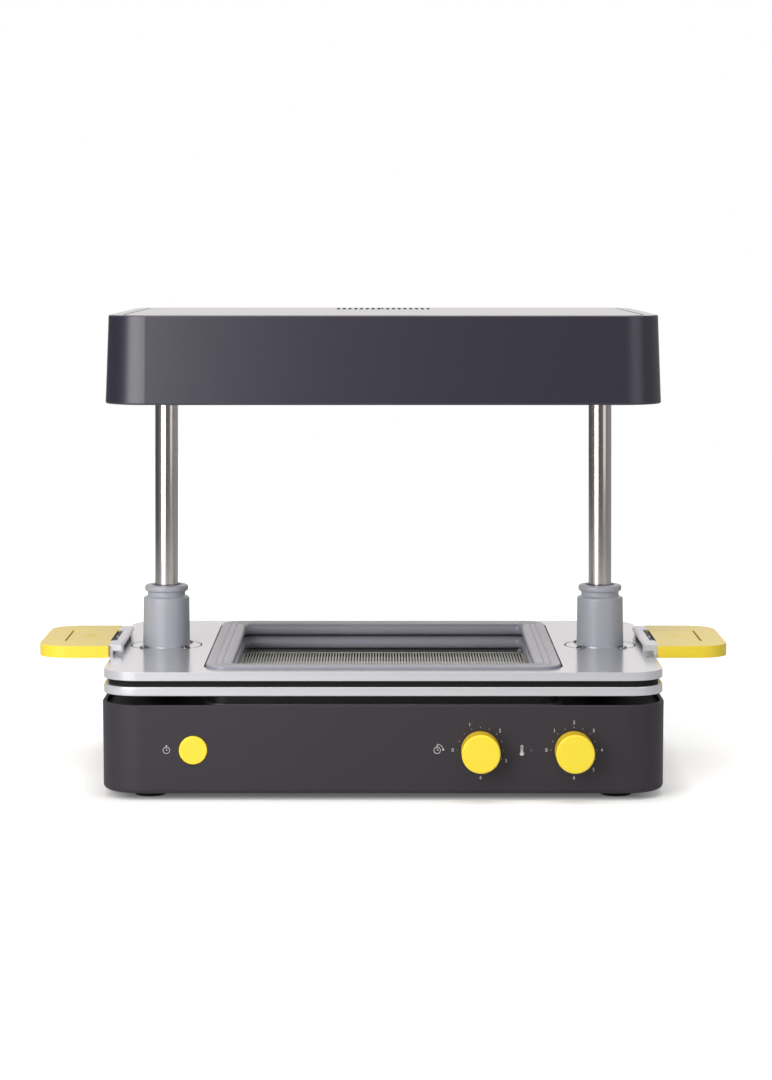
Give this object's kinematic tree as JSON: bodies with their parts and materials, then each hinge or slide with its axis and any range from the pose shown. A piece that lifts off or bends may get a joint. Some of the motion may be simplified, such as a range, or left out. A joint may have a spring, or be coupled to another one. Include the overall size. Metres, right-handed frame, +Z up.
{
  "type": "dental vacuum former",
  "caption": "Desktop vacuum former with a heater head on steel posts, sliding clamping trays with latches, a bellows-sealed vacuum bed and front dials.",
  "frame": {"origin": "middle of the footprint, knobs and handles included, on the table under the feet", "axes": "+X to the right across both handles as seen from the front, +Y from the dials to the rear, +Z up"},
  "size_m": [0.469, 0.2743, 0.3152],
  "materials": {
    "housing_dark": "satin moulded plastic, dark anthracite",
    "head_dark": "satin moulded plastic, dark anthracite",
    "black_plastic": "matt black moulded plastic",
    "rubber": "black rubber",
    "silicone": "grey silicone, soft sheen",
    "bed_steel": "perforated stainless sheet",
    "post_steel": "ground stainless tube",
    "cast_metal": "cast aluminium",
    "tray_silver": "silver powder coat, semi-gloss",
    "collar_grey": "satin grey moulded plastic",
    "handle_yellow": "yellow moulded plastic, satin",
    "bracket_metal": "satin anodised aluminium",
    "screw_dark": "dark chrome screws",
    "spring_steel": "spring steel",
    "board_green": "glass-fibre circuit board",
    "switch_grey": "plastic switch bodies",
    "clear_pipe": "clear light pipes",
    "lead_red": "silicone-covered leads",
    "reflector_alu": "bright rolled aluminium",
    "ceramic": "glazed ceramic",
    "grille_wire": "plated wire"
  },
  "bodies": {
    "base": {"base_housing": "housing_dark", "bottom_cover": "black_plastic", "rubber_feet": "rubber", "cover_screws": "screw_dark", "vacuum_chamber": "cast_metal", "vacuum_bed": "bed_steel", "bellows_seal": "silicone", "seal_frame": "black_plastic", "seal_frame_screws": "screw_dark", "hose_port": "black_plastic", "post_left": "post_steel", "post_right": "post_steel", "post_sockets": "cast_metal", "control_board": "board_green", "timer_switch": "switch_grey", "heater_switch": "switch_grey", "start_switch": "switch_grey", "light_pipes": "clear_pipe", "power_inlet": "black_plastic", "heater_leads": "lead_red", "heater_housing": "head_dark", "heater_top_panel": "head_dark", "reflector": "reflector_alu", "heater_elements": "ceramic", "guard_grille": "grille_wire", "grille_screws": "screw_dark", "terminal_block": "ceramic", "thermal_cutout": "bracket_metal", "post_clamps": "cast_metal", "detent_rings": "black_plastic", "start_spring": "spring_steel"},
    "lower_tray": {"lower_tray_frame": "tray_silver", "lower_tray_bushes": "black_plastic", "tray_gasket": "rubber"},
    "upper_tray": {"upper_tray_frame": "tray_silver", "collar_left": "collar_grey", "collar_right": "collar_grey", "collar_bushes": "black_plastic", "collar_screws": "screw_dark", "handle_left": "handle_yellow", "handle_right": "handle_yellow", "bracket_left": "bracket_metal", "bracket_right": "bracket_metal", "bracket_screws": "screw_dark", "handle_screws": "screw_dark", "latch_pins": "spring_steel", "latch_springs": "spring_steel"},
    "latch_left": {"latch_lever_left": "handle_yellow", "latch_claw_left": "spring_steel"},
    "latch_right": {"latch_lever_right": "handle_yellow", "latch_claw_right": "spring_steel"},
    "timer_dial": {"timer_knob": "handle_yellow", "timer_shaft": "spring_steel"},
    "heater_dial": {"heater_knob": "handle_yellow", "heater_shaft": "spring_steel"},
    "start_push": {"start_button": "handle_yellow"}
  },
  "joints": [
    {"name": "tray_lift", "type": "slide", "parent": "base", "child": "lower_tray", "axis": [0, 0, 1], "range_m": [0, 0.141]},
    {"name": "frame_open", "type": "slide", "parent": "lower_tray", "child": "upper_tray", "axis": [0, 0, 1], "range_m": [0, 0.024], "deforming": ["latch_claw_left", "latch_claw_right"]},
    {"name": "latch_left_tip", "type": "hinge", "parent": "upper_tray", "child": "latch_left", "pos_m": [-0.1846, 0.0079, 0.0875], "axis": [0, 1, 0], "range_deg": [0, 35], "stiffness_Nm_per_rad": 0.05, "deforming": ["latch_springs"]},
    {"name": "latch_right_tip", "type": "hinge", "parent": "upper_tray", "child": "latch_right", "pos_m": [0.1846, 0.0079, 0.0875], "axis": [0, -1, 0], "range_deg": [0, 35], "stiffness_Nm_per_rad": 0.05},
    {"name": "timer_turn", "type": "hinge", "parent": "base", "child": "timer_dial", "pos_m": [0.0631, -0.1214, 0.0326], "axis": [0, 1, 0], "range_deg": [0, 270]},
    {"name": "heater_turn", "type": "hinge", "parent": "base", "child": "heater_dial", "pos_m": [0.124, -0.1214, 0.0326], "axis": [0, 1, 0], "range_deg": [0, 270]},
    {"name": "start_press", "type": "slide", "parent": "base", "child": "start_push", "axis": [0, 1, 0], "range_m": [0, 0.002], "stiffness_N_per_m": 300, "deforming": ["start_spring"]}
  ]
}
